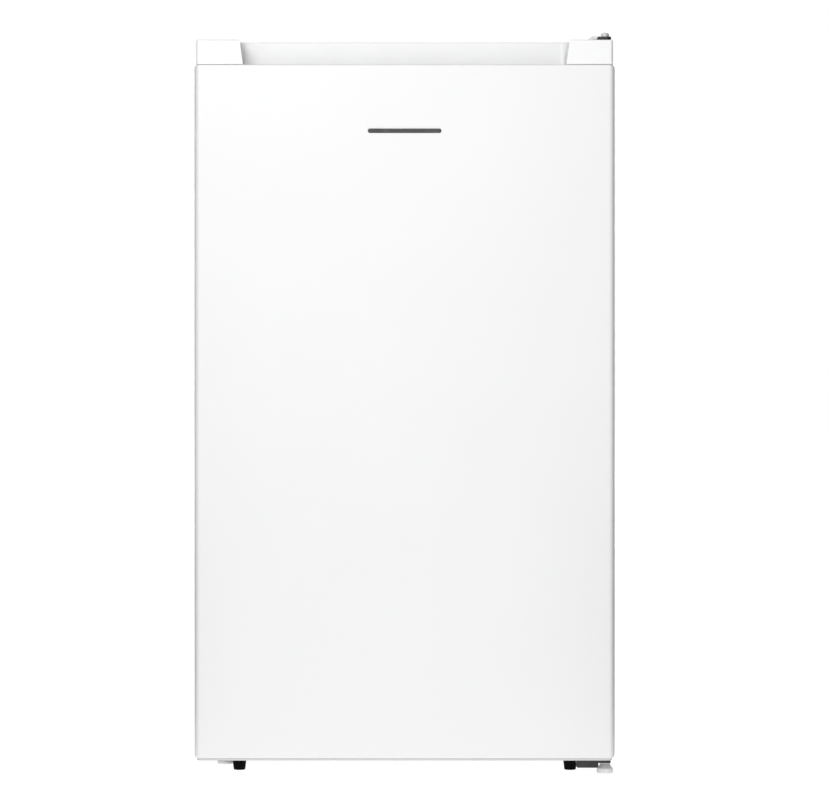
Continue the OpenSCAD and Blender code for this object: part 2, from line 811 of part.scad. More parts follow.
module crisper_cover() {
    color("lightcyan")
        slab([-in_x + 2.5, shelf_y0 + 2, crisper_cover_z + gap], [in_x - 2.5, shelf_y1, crisper_cover_z + 4]);
}

module crisper_drawer() {
    x = in_x - 8;
    y0 = shelf_y0 + 12;
    y1 = hump_y - 8;
    z0 = in_z0 + 0.5;
    z1 = crisper_cover_z - rib_h - 3;
    t = moulding;
    color("aliceblue") {
        difference() {
            translate([0, 0, z0]) linear_extrude(z1 - z0) rounded([-x, y0], [x, y1], 10);
            translate([0, 0, z0 + t]) linear_extrude(z1 - z0) rounded([-x + t, y0 + t], [x - t, y1 - t], 10 - t);
        }
        // Pull along the top of the front
        along_x(220) polygon([
            [y0 + 1, z1 - 30], [y0 - 10, z1 - 4], [y0 - 10, z1], [y0 - 8, z1], [y0 - 7, z1 - 4], [y0 + 1, z1 - 20]
        ]);
    }
}

module drip_tray() {
    y0 = ice_y0 - 6;
    y1 = in_y1 - 20;
    t = 2;
    color("aliceblue") difference() {
        union() {
            slab([-in_x + 3.5, y0, tray_z + gap], [in_x - 3.5, y1, tray_z + t]);
            translate([0, 0, tray_z - 16]) linear_extrude(16 + t) rounded([-in_x + 16, y0], [in_x - 16, y1], 8);
            along_x(160) polygon([
                [y0 + 1, tray_z - 10], [y0 - 8, tray_z - 2], [y0 - 8, tray_z + t], [y0 + 1, tray_z + t]
            ]);
        }
        translate([0, 0, tray_z - 16 + t]) linear_extrude(20) rounded([-in_x + 18, y0 + t], [in_x - 18, y1 - t], 6);
    }
}

// ---------- ice box ----------

// Roll-bonded aluminium sleeve, with the refrigerant's channels standing up on its top and floor.
module ice_box_evaporator() {
    t = sleeve_t;
    color("silver") difference() {
        union() {
            along_y(ice_y0, ice_y1) rounded([-ice_x, ice_z[0]], [ice_x, ice_z[1]], 9);
            for (k = [-3.5:3.5]) translate([k * 44, ice_y0 + 18, ice_z[0] + 0.5]) rotate([-90, 0, 0])
                cylinder(h = ice_y1 - ice_y0 - 30, r = 3);
        }
        translate([0, -1, 0]) along_y(ice_y0 - 1, ice_y1 - t + 1)
            rounded([-ice_x + t, ice_z[0] + t], [ice_x - t, ice_z[1] - t], 9 - t);
        for (at = ice_screws) post(at, ice_z[1] - 3, ice_z[1] + 1, 1.9);
    }
}

module ice_box_screws() {
    z = ice_z[1] - sleeve_t - gap;
    color("silver") mirror([0, 0, 1]) for (at = ice_screws) screw(at, -z, 1.6, 9, 4, 2.2);
}

module ice_box_frame() {
    y0 = ice_y0 - 12;
    color("white") {
        difference() {
            along_y(y0, ice_y0 - gap) rounded([-in_x + 1.5, 656], [in_x - 1.5, in_z1 - 1], 4);
            along_y(y0 - 1, ice_y0 + 1) rounded([-ice_x + 6, ice_z[0] + 5], [ice_x - 6, ice_z[1] - 6], 6);
        }
        both_sides() difference() {
            slab([ice_x + 1, y0 - 12, flap_axis[1] - 8], [ice_x + 6, y0 + 1, flap_axis[1] + 8]);
            translate([ice_x, flap_axis[0], flap_axis[1]]) rotate([0, 90, 0]) cylinder(h = 8, r = 2.6);
        }
    }
}

module ice_box_flap() {
    y = flap_axis[0];
    color("aliceblue") {
        difference() {
            union() {
                along_y(y - 2.5, y + 2.5) rounded([-ice_x + 1, ice_z[0] - 4], [ice_x - 1, flap_axis[1]], 5);
                // Pull lip along the lower edge
                along_x(200) polygon([
                    [y - 2, ice_z[0] + 14], [y - 11, ice_z[0] + 6], [y - 11, ice_z[0] + 3], [y - 2, ice_z[0] + 6]
                ]);
            }
            along_y(y - 4, y - 1) rounded([-ice_x + 12, ice_z[0] + 18], [ice_x - 12, flap_axis[1] - 10], 5);
        }
        translate([-ice_x - 5, y, flap_axis[1]]) rotate([0, 90, 0]) cylinder(h = 2 * ice_x + 10, r = 2.5);
    }
}

// ---------- thermostat and lamp ----------

module thermostat_housing() {
    t = 2;
    color("white") difference() {
        slab([box_x, box_y[0], box_z[0]], [in_x - gap, box_y[1], box_z[1]]);
        // A room for the control and one for the lamp, with the lamp's socket in the wall between
        slab([box_x + t, box_y[0] + t, box_z[0] + t], [in_x + 1, socket_wall_y[0], box_z[1] - t]);
        slab([box_x + t, socket_wall_y[1], box_z[0] + t], [in_x + 1, box_y[1] - t, box_z[1] - t]);
        translate([box_x + 15, socket_wall_y[0] - 1, knob_at[1]]) rotate([-90, 0, 0])
            cylinder(h = 10, r = bulb_neck_r + 0.05);
        slab([box_x - 1, lamp_y[0], box_z[0] + lamp_margin],
             [box_x + t + 1, lamp_y[1], box_z[1] - lamp_margin]);
        translate([box_x - 1, knob_at[0], knob_at[1]]) rotate([0, 90, 0])
            cylinder(h = 5, r = spindle_r + 0.05);
        translate([switch_at[0], box_y[0] - 1, switch_at[1]]) rotate([-90, 0, 0])
            cylinder(h = 5, r = switch_r + gap);
    }
}

// The control itself, held inside the housing behind the knob's spindle.
module thermostat_control() {
    color("lightgray") {
        slab([box_x + 13, knob_at[0] - 14, knob_at[1] - 16], [in_x - 1, knob_at[0] + 14, knob_at[1] + 12]);
        translate([box_x + 12, knob_at[0], knob_at[1] - 2]) rotate([0, 90, 0]) cylinder(h = 2, r = 6);
    }
}

module thermostat_knob() {
    color("whitesmoke") translate([0, knob_at[0], knob_at[1]]) rotate([0, 90, 0]) {
        translate([0, 0, box_x - 3]) cylinder(h = 3 - lid_gap, r = knob_r);
        translate([0, 0, box_x - 13]) cylinder(h = 12, r = grip_r);
        slab([-2.5, -grip_r + 0.4, box_x - 17], [2.5, grip_r - 0.4, box_x - 7]);
        translate([0, 0, box_x - 2]) cylinder(h = 13.5, r = spindle_r);
    }
}

module lamp_cover() {
    t = 1.8;
    z = [box_z[0] + lamp_margin, box_z[1] - lamp_margin];
    color("ivory") difference() {
        slab([box_x - 3, lamp_y[0] + gap, z[0] + gap], [box_x + 2, lamp_y[1] - gap, z[1] - gap]);
        slab([box_x - 3 + t, lamp_y[0] + t, z[0] + t], [box_x + 3, lamp_y[1] - t, z[1] - t]);
    }
}

module lamp_bulb() {
    color("ivory") translate([box_x + 15, 0, knob_at[1]]) rotate([90, 0, 0]) rotate_extrude() {
        difference() {
            union() {
                translate([0, 24]) circle(bulb_r);
                translate([0, -socket_wall_y[1]]) square([bulb_neck_r, 26]);
            }
            translate([-20, -20]) square([20, 80]);
        }
    }
}

module lamp_switch() {
    color("whitesmoke") translate([switch_at[0], 0, switch_at[1]]) rotate([-90, 0, 0]) {
        translate([0, 0, side_dyke_y + lid_gap]) cylinder(h = 24, r = switch_r);
        translate([0, 0, box_y[0] + 2 + lid_gap]) cylinder(h = 2, r = switch_r + 1.5);
    }
}

// ---------- refrigeration ----------

module compressor_tray() {
    y0 = machine_y + 4;
    y1 = y_sheet + 15;
    z = tray_top - 4;
    t = 1.5;
    x = x_side - skin - 0.5;
    color("silver") {
        difference() {
            union() {
                slab([-x, y0, z], [x, y1, z + t]);
                for (y = [y0, y1 - t]) slab([-x, y, z], [x, y + t, z + 14]);
                both_sides() slab([x - t, y0, z], [x, y1, z + 24]);
            }
            for (at = comp_feet) post(at, z - 1, z + 3, 4);
        }
    }
}

comp_feet = [for (x = [-72, 72], y = [-46, 46]) [comp_at[0] + x, comp_at[1] + y]];

// Welded steel shell on a foot plate, with three tube stubs.
module compressor() {
    z0 = comp_z[0];
    z1 = comp_z[1];
    zm = stub_z - 24;
    r = comp_r;
    color("black") {
        translate([comp_at[0], comp_at[1], 0]) rotate_extrude() {
            difference() {
                union() {
                    translate([0, z0 + 14]) square([r - 2, zm - z0 - 14]);
                    translate([0, z0]) square([r - 16, 20]);
                    translate([r - 16, z0 + 14]) circle(14);
                    translate([0, zm]) square([r + 3, 4]);
                    translate([0, zm + 3]) square([r, z1 - 30 - zm - 3]);
                    translate([0, z1 - 31]) square([r - 30, 31]);
                    translate([r - 30, z1 - 30]) circle(30);
                }
                translate([-200, 0]) square([200, 300]);
            }
        }
        difference() {
            translate([0, 0, z0 - 2]) linear_extrude(3)
                rounded([comp_at[0] - 84, comp_at[1] - 56], [comp_at[0] + 84, comp_at[1] + 56], 8);
            for (at = comp_feet) post(at, z0 - 3, z0 + 2, 6.3);
        }
        for (a = stub_angles) translate([comp_at[0], comp_at[1], stub_z]) rotate(a) rotate([0, 90, 0])
            cylinder(h = r + 14, r = stub_r);
    }
}

module compressor_mounts() {
    z = tray_top - 2.5 + gap;
    color("dimgray") for (at = comp_feet) translate([at[0], at[1], z]) rotate_extrude() polygon([
        [0, 0], [10, 0], [10, 12 - 0.4], [6, 12 - 0.4], [6, 16], [8, 16], [8, 19], [0, 19]
    ]);
}

module terminal_cover() {
    x = comp_at[0] + comp_r;
    color("black") difference() {
        translate([0, 0, terminal_z[0]]) linear_extrude(terminal_z[1] - terminal_z[0])
            rounded([x - 8, comp_at[1] - 48], [x + 24, comp_at[1] + 8], 5);
        post(comp_at, 0, 200, comp_r + 3.4);
        // The mains cord's way in
        post([x + 8, comp_at[1] - 30], terminal_z[0] - 6, terminal_z[0] + 6, inlet_r);
    }
}

// Shallow pan on the compressor, where melt water evaporates.
module drain_pan() {
    z = comp_z[1] + 0.4;
    t = 2;
    color("whitesmoke") difference() {
        translate([0, 0, z]) linear_extrude(16) rounded(pan[0], pan[1], 10);
        translate([0, 0, z + t]) linear_extrude(20) rounded(pan[0] + [t, t], pan[1] - [t, t], 10 - t);
    }
}

module condenser_tube() {
    color("black") translate([0, cond_y, 0]) {
        for (k = [0:runs - 1]) translate([-run_x, 0, cond_z0 + k * run_pitch]) rotate([0, 90, 0])
            cylinder(h = 2 * run_x, r = tube_r);
        for (k = [0:runs - 2]) translate([0, 0, cond_z0 + (k + 0.5) * run_pitch])
            mirror([k % 2, 0, 0]) translate([run_x, 0, 0]) rotate([90, 0, 0])
                rotate_extrude(angle = 180, start = -90) translate([run_pitch / 2, 0]) circle(tube_r);
    }
}

module condenser_wires() {
    pitch = 2 * (run_x - 8) / (wires - 1);
    color("black") for (y = [wire_y0, wire_y1], k = [0:wires - 1])
        translate([-run_x + 8 + k * pitch, y, cond_z0 - 12]) cylinder(h = cond_z1 - cond_z0 + 24, r = wire_r);
}

// Four brackets that hold the condenser's runs off the back panel.
module condenser_brackets() {
    color("dimgray") both_sides() for (k = [2, runs - 3]) {
        z = cond_z0 + k * run_pitch;
        difference() {
            union() {
                slab([run_x - 20, y_sheet, z - 18], [run_x - 14, y_back - 0.2, z + 18]);
                slab([run_x - 20, y_sheet, z - 18], [run_x, y_sheet + 2, z + 18]);
            }
            translate([run_x - 21, cond_y, z]) rotate([0, 90, 0]) cylinder(h = 8, r = tube_r + gap);
            slab([run_x - 21, cond_y, z - tube_r - gap], [run_x - 13, cond_y + 9, z + tube_r + gap]);
            slab([run_x - 21, y_sheet + 8, z - 12], [run_x - 13, cond_y - 7, z + 12]);
        }
    }
}

// A point on one of the compressor's stubs, carried outward by d from its end.
function stub(angle, d) = [
    comp_at[0] + (comp_r + 14 + d) * cos(angle), comp_at[1] + (comp_r + 14 + d) * sin(angle), stub_z
];

// Hot gas to the top of the condenser, liquid from its lowest run to the drier, a thin capillary
// from there into the back panel, and the suction line back to the compressor.
discharge = [
    stub(stub_angles[0], 0.5), stub(stub_angles[0], 18),
    [70, 216, stub_z + 6], [130, 228, stub_z + 30], [190, 240, 185],
    [222, cond_y, 230], [riser_x, cond_y, 290], [riser_x, cond_y, cond_z1 - 60], [riser_x, cond_y, cond_z1 - 20],
    [riser_x - 8, cond_y, cond_z1 - 3], [run_x + 14, cond_y, cond_z1], [run_x + 0.5, cond_y, cond_z1]
];
liquid = [
    [-run_x - 0.5, cond_y, cond_z0], [-run_x - 14, cond_y, cond_z0 - 4], [-run_x - 20, 242, cond_z0 - 24],
    [-214, 236, 208], [-208, 222, 184], [drier_at[0] - 2, 200, 176],
    [drier_at[0], drier_at[1], 168], [drier_at[0], drier_at[1], drier_top + 0.4]
];
capillary = [
    [drier_at[0], drier_at[1], drier_top - 100.4], [drier_at[0], drier_at[1], 48], [-182, 200, 36], [-160, 214, 38],
    [-142, 226, 58], [-134, 234, 110], [-134, 236, 180], [-134, 234, 246], [-138, 226, 266], [-142, y_sheet + 0.8, 272]
];
suction = [
    stub(stub_angles[2], 1), stub(stub_angles[2], 10), [-126, 212, 132], [-124, 228, 160], [-124, 234, 200],
    [-124, 234, 240], [-124, 228, 262], [-124, y_sheet + 0.8, 270]
];

module refrigerant_pipes() {
    color("peru") {
        tube_along(spline(discharge, 3), 2.4, 8);
        tube_along(spline(liquid, 3), 2.4, 8);
        tube_along(spline(capillary, 3), 1.3, 6);
        tube_along(spline(suction, 3), 3.4, 8);
    }
}

module filter_drier() {
    color("peru") translate([drier_at[0], drier_at[1], 0]) rotate_extrude() polygon([
        [0, drier_top - 100], [2.4, drier_top - 100], [2.4, drier_top - 92], [8.5, drier_top - 82],
        [8.5, drier_top - 16], [3, drier_top - 6], [3, drier_top], [0, drier_top]
    ]);
}

cabinet_wrapper();
back_panel();
bottom_panel();
cabinet_insulation();
inner_liner();
worktop();
base_rail();
front_feet();
rear_feet();
top_hinge_base();
top_hinge_bracket();
top_hinge_pin();
top_hinge_cover();
bottom_hinge_bracket();
bottom_hinge_pin();
hinge_screws();
hinge_foot_insert();
hinge_foot_pad();
left_foot_stud();
left_foot_pad();
door_skin();
door_insulation();
door_liner();
door_gasket();
door_top_cap();
door_bottom_cap();
door_hinge_bushes();
door_badge();
top_balcony();
middle_balcony();
bottle_rack();
bottle_rail();
egg_tray();
upper_shelf_glass();
upper_shelf_trim();
lower_shelf_glass();
lower_shelf_trim();
crisper_drawer();
crisper_cover();
drip_tray();
ice_box_evaporator();
ice_box_screws();
ice_box_frame();
ice_box_flap();
thermostat_housing();
thermostat_control();
thermostat_knob();
lamp_cover();
lamp_bulb();
lamp_switch();
compressor_tray();
compressor();
compressor_mounts();
terminal_cover();
drain_pan();
condenser_tube();
condenser_wires();
condenser_brackets();
refrigerant_pipes();
filter_drier();
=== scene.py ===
"""Looks of a mini fridge: white enamelled door and cabinet, moulded plastic, glass, steel and copper."""
import bpy
import bmesh
import json
import math
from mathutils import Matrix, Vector

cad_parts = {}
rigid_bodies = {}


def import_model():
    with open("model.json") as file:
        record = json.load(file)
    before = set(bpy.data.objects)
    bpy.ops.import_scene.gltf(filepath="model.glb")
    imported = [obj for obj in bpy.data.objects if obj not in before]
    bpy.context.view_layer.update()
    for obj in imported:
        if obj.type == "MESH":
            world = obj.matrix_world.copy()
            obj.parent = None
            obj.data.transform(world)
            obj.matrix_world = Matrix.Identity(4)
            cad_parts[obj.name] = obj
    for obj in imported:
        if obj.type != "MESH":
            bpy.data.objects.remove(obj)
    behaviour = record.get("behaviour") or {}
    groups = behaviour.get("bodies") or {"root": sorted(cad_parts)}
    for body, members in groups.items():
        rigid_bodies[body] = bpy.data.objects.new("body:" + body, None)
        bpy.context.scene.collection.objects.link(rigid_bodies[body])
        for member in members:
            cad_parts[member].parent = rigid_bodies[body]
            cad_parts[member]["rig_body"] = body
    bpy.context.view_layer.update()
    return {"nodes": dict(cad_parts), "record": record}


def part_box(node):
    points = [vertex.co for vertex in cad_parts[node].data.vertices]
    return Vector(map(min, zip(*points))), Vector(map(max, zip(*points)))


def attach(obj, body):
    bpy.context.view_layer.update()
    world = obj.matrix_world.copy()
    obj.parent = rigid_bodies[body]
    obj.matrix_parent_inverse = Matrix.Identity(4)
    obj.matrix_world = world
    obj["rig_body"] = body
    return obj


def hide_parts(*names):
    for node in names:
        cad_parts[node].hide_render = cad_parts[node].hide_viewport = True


MM = 0.001
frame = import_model()


# ---------------------------------------------------------------- materials

class Nodes:
    """Builds a node tree a few nodes at a time."""

    def __init__(self, tree):
        self.tree = tree
        self.coordinates = self.node("ShaderNodeTexCoord")

    def node(self, kind, **settings):
        made = self.tree.nodes.new(kind)
        for key, value in settings.items():
            if hasattr(made, key):
                setattr(made, key, value)
            else:
                made.inputs[key.replace("_", " ")].default_value = value
        return made

    def link(self, output, socket):
        self.tree.links.new(output, socket)

    def ramp(self, value, levels):
        """A colour or a grey at each (position, level), and smooth between them."""
        made = self.node("ShaderNodeValToRGB")
        points = made.color_ramp.elements
        while len(points) < len(levels):
            points.new(0.5)
        for point, (position, level) in zip(points, levels):
            point.position = position
            point.color = (*level, 1) if isinstance(level, tuple) else (level, level, level, 1)
        self.link(value, made.inputs["Fac"])
        return made.outputs["Color"]

    def remap(self, value, low, high):
        """Stretches the values from low to high over 0 to 1."""
        made = self.node("ShaderNodeMapRange", From_Min=low, From_Max=high)
        self.link(value, made.inputs["Value"])
        return made.outputs["Result"]

    def mix(self, share, first, second, blend_type="MIX"):
        made = self.node("ShaderNodeMix", data_type="RGBA", blend_type=blend_type)
        for value, socket in zip((share, first, second), (made.inputs[0], made.inputs[6], made.inputs[7])):
            if isinstance(value, (int, float)):
                socket.default_value = value
            elif isinstance(value, tuple):
                socket.default_value = (*value, 1)
            else:
                self.link(value, socket)
        return made.outputs[2]


class Shader(Nodes):
    """A node material with one Principled shader."""

    def __init__(self, name, **sockets):
        self.material = bpy.data.materials.new(name)
        self.material.use_nodes = True
        super().__init__(self.material.node_tree)
        self.bsdf = self.tree.nodes["Principled BSDF"]
        self.normal = None
        for socket, value in sockets.items():
            self.set(socket.replace("_", " "), value)

    def set(self, socket, value):
        target = self.bsdf.inputs[socket]
        if target.type == "RGBA":
            value = (*value, 1.0)
        target.default_value = value

    def place(self, stretch=(1, 1, 1)):
        """Object coordinates in metres, stretched along each axis."""
        mapping = self.node("ShaderNodeMapping")
        mapping.inputs["Scale"].default_value = stretch
        self.link(self.coordinates.outputs["Object"], mapping.inputs["Vector"])
        return mapping.outputs["Vector"]

    def noise(self, per_metre, detail=2.0, roughness=0.5, stretch=(1, 1, 1)):
        made = self.node("ShaderNodeTexNoise", Scale=per_metre, Detail=detail, Roughness=roughness)
        self.link(self.place(stretch), made.inputs["Vector"])
        return made.outputs["Fac"]

    def cells(self, per_metre, feature="F1", stretch=(1, 1, 1)):
        made = self.node("ShaderNodeTexVoronoi", feature=feature, Scale=per_metre)
        self.link(self.place(stretch), made.inputs["Vector"])
        return made

    def colour(self, value, low, high, start=0.3, end=0.7):
        """Base colour that runs from low to high as value goes from start to end."""
        self.link(self.ramp(value, [(start, low), (end, high)]), self.bsdf.inputs["Base Color"])
        return self

    def gloss(self, value, low, high, start=0.3, end=0.7):
        """Roughness that runs from low to high as value goes from start to end."""
        self.link(self.ramp(value, [(start, low), (end, high)]), self.bsdf.inputs["Roughness"])
        return self

    def tilt(self, made):
        """Puts a bump or bevel node on top of the normals so far."""
        if self.normal is not None:
            self.link(self.normal, made.inputs["Normal"])
        self.normal = made.outputs["Normal"]
        self.link(self.normal, self.bsdf.inputs["Normal"])
        return self

    def bump(self, height, depth_mm, strength=1.0):
        made = self.node("ShaderNodeBump", Strength=strength, Distance=depth_mm * MM)
        self.link(height, made.inputs["Height"])
        return self.tilt(made)

    def soft_edges(self, radius_mm):
        return self.tilt(self.node("ShaderNodeBevel", samples=4, Radius=radius_mm * MM))


def enamel():
    """Gloss white paint on steel sheet, with a faint orange peel."""
    s = Shader("white_enamel", IOR=1.5, Coat_Weight=0.35, Coat_Roughness=0.12)
    s.soft_edges(0.5)
    s.colour(s.noise(9, 3), (0.811, 0.816, 0.812), (0.819, 0.824, 0.821))
    s.gloss(s.noise(35, 3), 0.30, 0.38)
    return s.bump(s.noise(420, 2), 0.02, 0.5).bump(s.noise(60, 1), 0.02, 0.25).material


def moulding(name, tint, grain=1500, depth=0.03, rough=(0.38, 0.5), edge=0.6):
    """Injection-moulded plastic with a fine spark-eroded grain, its depth and edge in millimetres."""
    s = Shader(name, IOR=1.49, Subsurface_Weight=0.04, Subsurface_Scale=0.002)
    s.set("Subsurface Radius", (1.0, 0.9, 0.8))
    s.soft_edges(edge)
    darker = tuple(0.965 * c for c in tint)
    s.colour(s.noise(14, 3), darker, tint)
    s.gloss(s.noise(90, 3), *rough)
    return s.bump(s.cells(grain).outputs["Distance"], depth, 0.5).bump(s.noise(25, 1), 0.05, 0.2).material


def liner():
    """Vacuum-formed sheet: glossy, with a slow waviness where it was drawn over the mould."""
    s = Shader("white_liner", IOR=1.5, Coat_Weight=0.15, Coat_Roughness=0.2)
    s.soft_edges(2.2)
    s.colour(s.noise(4, 1), (0.825, 0.835, 0.84), (0.835, 0.845, 0.85))
    s.gloss(s.noise(12, 1), 0.34, 0.38)
    return s.bump(s.noise(3, 0), 0.15, 0.1).bump(s.noise(700, 1), 0.01, 0.15).material


def foam():
    """Rigid polyurethane foam with its open cells."""
    s = Shader("insulating_foam", Roughness=0.9, Subsurface_Weight=0.1, Subsurface_Scale=0.004)
    s.colour(s.noise(60, 5), (0.74, 0.62, 0.36), (0.86, 0.77, 0.52))
    return s.bump(s.cells(700).outputs["Distance"], 0.5, 0.7).material


def galvanised():
    """Zinc spangle on sheet steel."""
    s = Shader("galvanised_steel", Metallic=0.95)
    s.soft_edges(0.4)
    spangle = s.cells(110)
    s.colour(spangle.outputs["Color"], (0.50, 0.515, 0.53), (0.66, 0.67, 0.685), 0.1, 0.9)
    s.gloss(spangle.outputs["Color"], 0.30, 0.46, 0.1, 0.9)
    return s.bump(s.noise(300, 3), 0.02, 0.4).material


def zinc(name="zinc_steel", metallic=1.0, low=(0.52, 0.525, 0.53), high=(0.66, 0.665, 0.67)):
    """Zinc plating on turned and drawn steel, passivated to a dull grey where it is less metallic."""
    s = Shader(name, Metallic=metallic)
    s.soft_edges(0.3)
    s.colour(s.noise(150, 3), low, high)
    s.gloss(s.noise(500, 3, stretch=(1, 1, 6)), 0.38, 0.52)
    return s.bump(s.noise(900, 2, stretch=(1, 1, 8)), 0.01, 0.5).material


def black_paint():
    """Satin black paint on pressed steel."""
    s = Shader("black_steel", IOR=1.5)
    s.soft_edges(0.4)
    s.colour(s.noise(70, 4), (0.012, 0.012, 0.013), (0.026, 0.026, 0.028))
    s.gloss(s.noise(160, 3), 0.32, 0.48)
    return s.bump(s.noise(700, 2), 0.03, 0.5).material


def dark_moulding(name, low, high, rough=(0.5, 0.66), sheen=0.5):
    """Dark or grey moulded plastic, with a finer grain."""
    s = Shader(name, IOR=1.5, Specular_IOR_Level=sheen)
    s.soft_edges(0.5)
    s.colour(s.noise(80, 3), low, high)
    s.gloss(s.noise(200, 3), *rough)
    return s.bump(s.cells(1400).outputs["Distance"], 0.04, 0.6).material


def clear_plastic(name, tint, rough, grain):
    """Clear styrene: a little blue in its thickness and a little haze."""
    s = Shader(name, IOR=1.45, Transmission_Weight=0.93)
    s.colour(s.noise(10, 2), tuple(0.97 * c for c in tint), tint)
    s.gloss(s.noise(120, 3), *rough)
    return s.bump(s.noise(grain, 2), 0.03, 0.35).material


def glass():
    """Toughened soda-lime glass, with faint wiping marks."""
    s = Shader("shelf_glass", IOR=1.52, Transmission_Weight=1.0)
    s.colour(s.noise(8, 2), (0.83, 0.94, 0.90), (0.88, 0.965, 0.935))
    return s.gloss(s.noise(45, 4, stretch=(1, 5, 1)), 0.0, 0.06).material


def roll_bond():
    """Rolled aluminium, its channels blown up from between two bonded sheets."""
    s = Shader("roll_bond", Metallic=0.9)
    s.soft_edges(0.8)
    s.colour(s.noise(30, 5), (0.66, 0.68, 0.70), (0.80, 0.81, 0.83))
    s.gloss(s.noise(260, 4, stretch=(8, 1, 1)), 0.30, 0.5)
    return s.bump(s.noise(600, 3, stretch=(6, 1, 1)), 0.03, 0.5).material


def rubber(name, low, high, rough):
    """Soft matt rubber or flexible vinyl."""
    s = Shader(name, IOR=1.5, Subsurface_Weight=0.03, Subsurface_Scale=0.001)
    s.colour(s.noise(60, 4), low, high)
    s.gloss(s.noise(150, 2), *rough)
    return s.bump(s.noise(1300, 2), 0.03, 0.5).material


def lamp_diffuser():
    """Translucent cover, ribbed inside to spread the light."""
    s = Shader("lamp_diffuser", IOR=1.49, Transmission_Weight=0.45)
    s.colour(s.noise(20, 2), (0.90, 0.90, 0.86), (0.95, 0.95, 0.92))
    s.gloss(s.noise(90, 2), 0.3, 0.42)
    ribs = s.node("ShaderNodeTexWave", Scale=110.0, bands_direction="Y")
    s.link(s.place(), ribs.inputs["Vector"])
    return s.bump(ribs.outputs["Fac"], 0.6, 0.7).material


def lamp_glass():
    """Frosted glass of the bulb."""
    s = Shader("lamp_glass", IOR=1.5, Transmission_Weight=0.5)
    s.colour(s.noise(40, 2), (0.93, 0.92, 0.88), (0.97, 0.97, 0.94))
    return s.gloss(s.noise(300, 3), 0.35, 0.5).material


def copper():
    """Drawn copper, dulled in patches by heat and handling."""
    s = Shader("copper", Metallic=1.0)
    s.colour(s.noise(55, 5), (0.46, 0.20, 0.11), (0.86, 0.47, 0.30), 0.25, 0.75)
    s.gloss(s.noise(140, 4), 0.2, 0.42)
    return s.bump(s.noise(500, 2), 0.02, 0.4).material


def brass():
    """Turned brass, with fine lathe lines."""
    s = Shader("brass_insert", Metallic=1.0)
    s.colour(s.noise(120, 3), (0.62, 0.46, 0.19), (0.80, 0.63, 0.31))
    return s.gloss(s.noise(400, 2, stretch=(1, 1, 8)), 0.2, 0.34).bump(s.noise(900, 2), 0.02, 0.4).material


MATERIALS = {
    "white_enamel": enamel(),
    "galvanised_steel": galvanised(),
    "insulating_foam": foam(),
    "white_liner": liner(),
    "white_moulding": moulding("white_moulding", (0.878, 0.881, 0.881)),
    "black_plastic": dark_moulding(
        "black_plastic", (0.003, 0.003, 0.003), (0.006, 0.006, 0.006), (0.7, 0.85), sheen=0.06
    ),
    "black_steel": black_paint(),
    "zinc_steel": zinc(),
    "brass_insert": brass(),
    "foot_plastic": moulding(
        "foot_plastic", (0.86, 0.865, 0.865), grain=1800, depth=0.05, rough=(0.42, 0.55), edge=0.4
    ),
    "seal_rubber": rubber("seal_rubber", (0.68, 0.69, 0.69), (0.77, 0.78, 0.78), (0.5, 0.62)),
    "dark_badge": dark_moulding("dark_badge", (0.035, 0.035, 0.038), (0.06, 0.06, 0.064), (0.2, 0.3)),
    "clear_plastic": clear_plastic("clear_plastic", (0.93, 0.965, 0.98), (0.04, 0.12), 500),
    "shelf_glass": glass(),
    "roll_bond": roll_bond(),
    "lamp_diffuser": lamp_diffuser(),
    "lamp_glass": lamp_glass(),
    "grey_plastic": dark_moulding("grey_plastic", (0.28, 0.285, 0.295), (0.35, 0.355, 0.365)),
    "damping_rubber": rubber("damping_rubber", (0.012, 0.012, 0.013), (0.03, 0.03, 0.032), (0.6, 0.8)),
    "copper": copper(),
}
# Nodes that look a little different from the rest of their slot: the top hinge pin in a dull, less metallic
# zinc, and the door's bottom cap in a light grey that is painted shade, standing for the shade under the door
FINISHES_AND_PAINTED_SHADE = {
    "top_hinge_pin": zinc("dull_zinc", 0.2, (0.64, 0.645, 0.65), (0.74, 0.745, 0.75)),
    # Painted shade: this grey on the bottom cap stands for the shade under the door, not for a grey plastic
    "door_bottom_cap": moulding("bottom_cap_painted_shade", (0.63, 0.632, 0.632)),
}
SLOTS = {row["node"]: row["material_slot"] for row in frame["record"]["subparts"]}


# ---------------------------------------------------------------- pieces

def finish_piece(mesh_or_bmesh, name, body, slot_name, replaced=(), smooth=40):
    """Makes an object of a mesh, smooth below the given angle, with its material and its body."""
    if isinstance(mesh_or_bmesh, bmesh.types.BMesh):
        mesh = bpy.data.meshes.new(name)
        mesh_or_bmesh.to_mesh(mesh)
        mesh_or_bmesh.free()
    else:
        mesh = mesh_or_bmesh
    mesh.shade_smooth()
    mesh.set_sharp_from_angle(angle=math.radians(smooth))
    made = bpy.data.objects.new(name, mesh)
    bpy.context.scene.collection.objects.link(made)
    mesh.materials.clear()
    mesh.materials.append(MATERIALS[slot_name])
    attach(made, body)
    if replaced:
        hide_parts(*replaced)
    return made


def dress(node):
    """A CAD node shown as it is, with its own finish; the door's bottom cap gets a grey that is painted
    shade, for the shade under the door.
    """
    o = frame["nodes"][node]
    o.data.materials.clear()
    o.data.materials.append(FINISHES_AND_PAINTED_SHADE.get(node, MATERIALS[SLOTS[node]]))


def box_mm(node):
    """A node's lowest and highest corners, in millimetres."""
    return [[v / MM for v in corner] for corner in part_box(node)]


def outline(x0, x1, z0, z1, r, steps=6):
    """Points round an upright rectangle with rounded corners, as (x, z), seen from the front."""
    points = []
    centres = [(x1 - r, z1 - r), (x0 + r, z1 - r), (x0 + r, z0 + r), (x1 - r, z0 + r)]
    for turn, (cx, cz) in enumerate(centres):
        for step in range(steps + 1):
            a = math.radians(90 * (turn + step / steps))
            points.append((cx + r * math.cos(a), cz + r * math.sin(a)))
    return points


